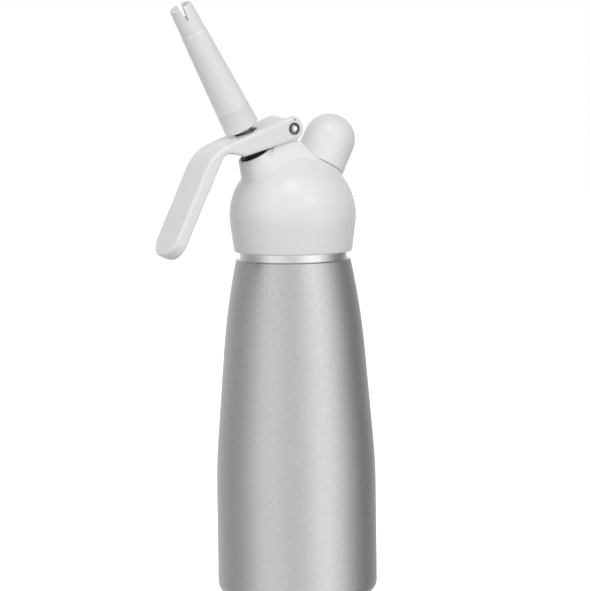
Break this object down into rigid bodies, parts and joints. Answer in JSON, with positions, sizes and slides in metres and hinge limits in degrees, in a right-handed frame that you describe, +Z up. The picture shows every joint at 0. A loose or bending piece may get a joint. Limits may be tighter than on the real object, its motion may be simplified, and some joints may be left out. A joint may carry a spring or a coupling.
{
  "type": "whipped cream dispenser",
  "caption": "Aluminium bottle with a screwed white plastic head, a squeeze lever that presses a sliding valve with its nozzle, and a capped charger port.",
  "frame": {"origin": "centre of the bottle's base, on the surface it stands on", "axes": "+Z up the bottle, -X towards the nozzle and the lever, +X towards the capped port"},
  "size_m": [0.1117, 0.078, 0.2909],
  "materials": {
    "bottle_aluminium": "bead-blasted, with a fine vertical grain",
    "white_plastic": "moulded, soft gloss",
    "ivory_plastic": "moulded, warmer white",
    "nozzle_plastic": "moulded, slightly translucent",
    "black_acetal": "turned, matt black",
    "silicone": "soft, matt",
    "black_rubber": "soft, matt",
    "stainless": "turned",
    "spring_steel": "drawn wire",
    "chromed_steel": "polished",
    "nickelled_brass": "nickel plated"
  },
  "bodies": {
    "bottle": {"bottle": "bottle_aluminium"},
    "gasket": {"head_gasket": "silicone"},
    "head": {"head": "white_plastic", "guide_bush": "black_acetal", "wiper_ring": "black_rubber", "valve_seat": "stainless", "valve_spring": "spring_steel", "port_nipple": "nickelled_brass", "nipple_seal": "black_rubber", "piercing_pin": "stainless", "charger_seal": "black_rubber", "check_sleeve": "silicone", "pivot_pin": "chromed_steel", "pin_cap": "chromed_steel"},
    "lever": {"lever": "white_plastic"},
    "valve": {"valve_piston": "stainless", "thrust_collar": "black_acetal", "poppet_seal": "silicone", "valve_poppet": "stainless", "nozzle_adapter": "ivory_plastic"},
    "nozzle_seal": {"nozzle_washer": "silicone"},
    "nozzle": {"decorator_nozzle": "nozzle_plastic"},
    "cap_washer": {"cap_seal": "silicone"},
    "cap": {"port_cap": "white_plastic"}
  },
  "joints": [
    {"name": "head_lift", "type": "slide", "parent": "bottle", "child": "gasket", "axis": [0, 0, 1], "range_m": [0, 0.0091]},
    {"name": "head_turn", "type": "hinge", "parent": "gasket", "child": "head", "pos_m": [0, 0, 0.186], "axis": [0, 0, 1], "range_deg": [0, 810]},
    {"name": "lever_squeeze", "type": "hinge", "parent": "head", "child": "lever", "pos_m": [-0.0047, 0, 0.2288], "axis": [0, -1, 0], "range_deg": [0, 10], "stiffness_Nm_per_rad": 0.6, "springref_deg": -11.46},
    {"name": "valve_slide", "type": "slide", "parent": "head", "child": "valve", "axis": [0.4848, 0, -0.8746], "range_m": [0, 0.0036], "deforming": ["valve_spring"]},
    {"name": "nozzle_lift", "type": "slide", "parent": "valve", "child": "nozzle_seal", "axis": [-0.4848, 0, 0.8746], "range_m": [0, 0.0023]},
    {"name": "nozzle_turn", "type": "hinge", "parent": "nozzle_seal", "child": "nozzle", "pos_m": [-0.02993, 0, 0.23411], "axis": [-0.4848, 0, 0.8746], "range_deg": [0, 405]},
    {"name": "cap_lift", "type": "slide", "parent": "head", "child": "cap_washer", "axis": [0.4695, 0, 0.8829], "range_m": [0, 0.0061]},
    {"name": "cap_turn", "type": "hinge", "parent": "cap_washer", "child": "cap", "pos_m": [0.01536, 0, 0.21122], "axis": [0.4695, 0, 0.8829], "range_deg": [0, 1080]}
  ],
  "couplings": [
    {"joint": "head_lift", "follows": "head_turn", "m_per_rad": 0.00063662},
    {"joint": "valve_slide", "follows": "lever_squeeze", "m_per_rad": 0.019973},
    {"joint": "nozzle_lift", "follows": "nozzle_turn", "m_per_rad": 0.00031831},
    {"joint": "cap_lift", "follows": "cap_turn", "m_per_rad": 0.00031831}
  ]
}
